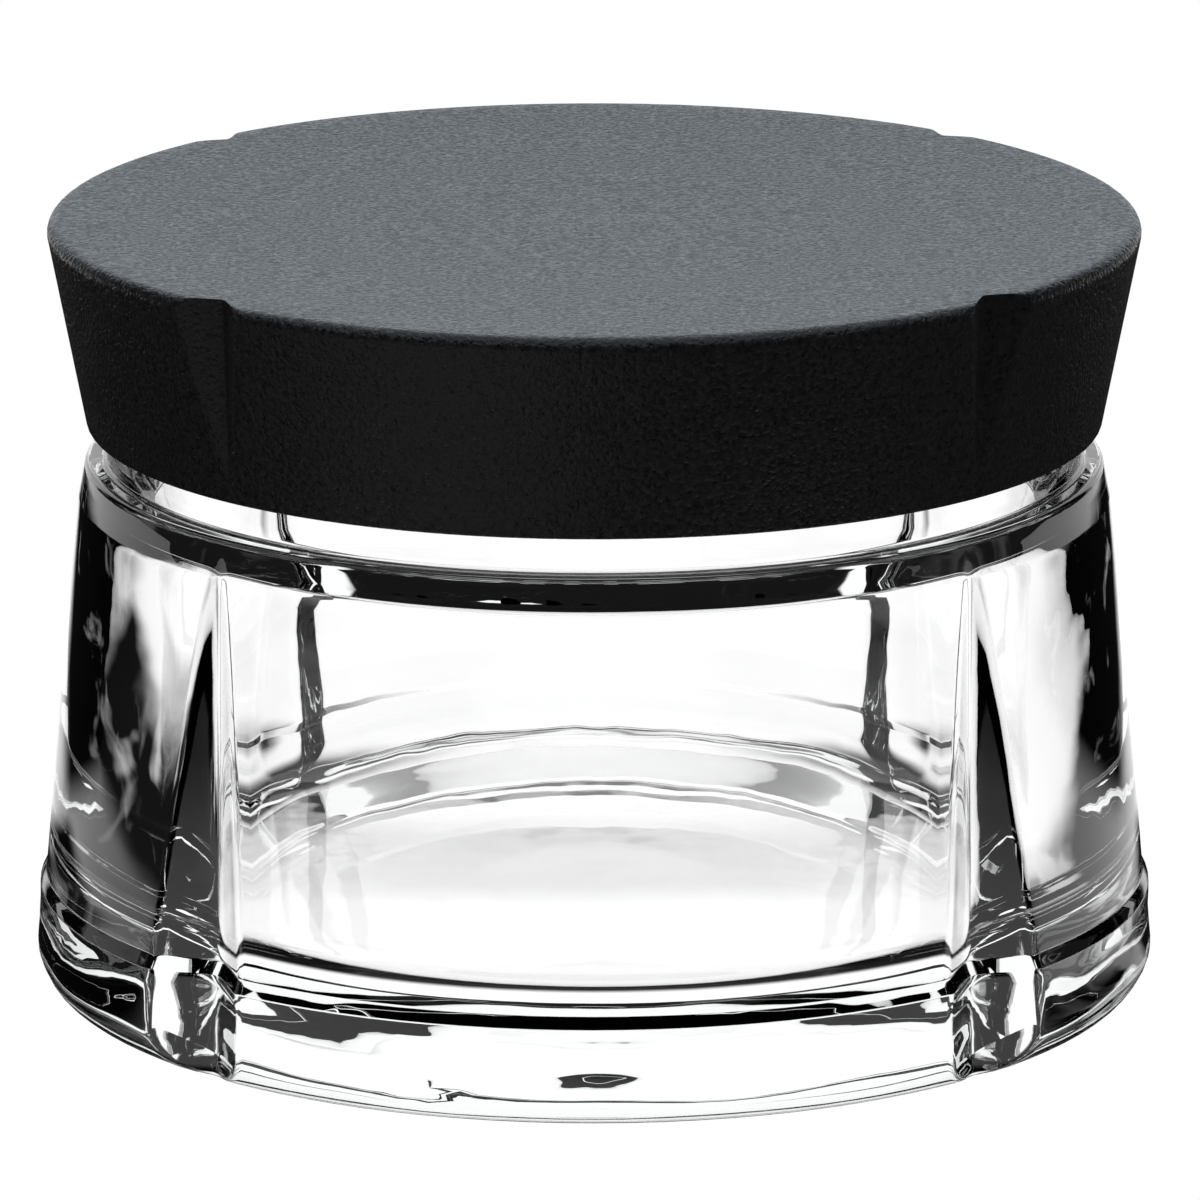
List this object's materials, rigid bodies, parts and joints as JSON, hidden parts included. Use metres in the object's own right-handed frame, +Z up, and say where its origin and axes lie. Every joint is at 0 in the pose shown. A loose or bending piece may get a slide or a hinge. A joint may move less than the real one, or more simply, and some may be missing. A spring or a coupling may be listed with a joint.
{
  "type": "storage jar",
  "caption": "Squat pressed-glass storage jar with a heavy foot, V-grooved wall and a dished plastic lid on a lipped silicone seal.",
  "frame": {"origin": "centre of the base, on the surface the jar stands on", "axes": "+Z up along the jar's axis, -Y towards the front; the four grooves are at 45 degrees to X and Y"},
  "size_m": [0.0952, 0.0952, 0.0659],
  "materials": {
    "glass": "clear pressed glass, fire-polished",
    "lid_black": "moulded plastic, fine texture on top, satin on the side",
    "plug_black": "smooth moulded plastic",
    "silicone": "translucent silicone"
  },
  "bodies": {
    "jar": {"glass_jar": "glass"},
    "seal": {"seal_ring": "silicone"},
    "lid": {"lid_cap": "lid_black", "lid_plug": "plug_black"}
  },
  "joints": [
    {"name": "lid_lift", "type": "slide", "parent": "jar", "child": "seal", "axis": [0, 0, 1], "range_m": [0, 0.09]},
    {"name": "lid_turn", "type": "hinge", "parent": "seal", "child": "lid", "pos_m": [0, 0, 0.055], "axis": [0, 0, 1], "continuous": true}
  ]
}
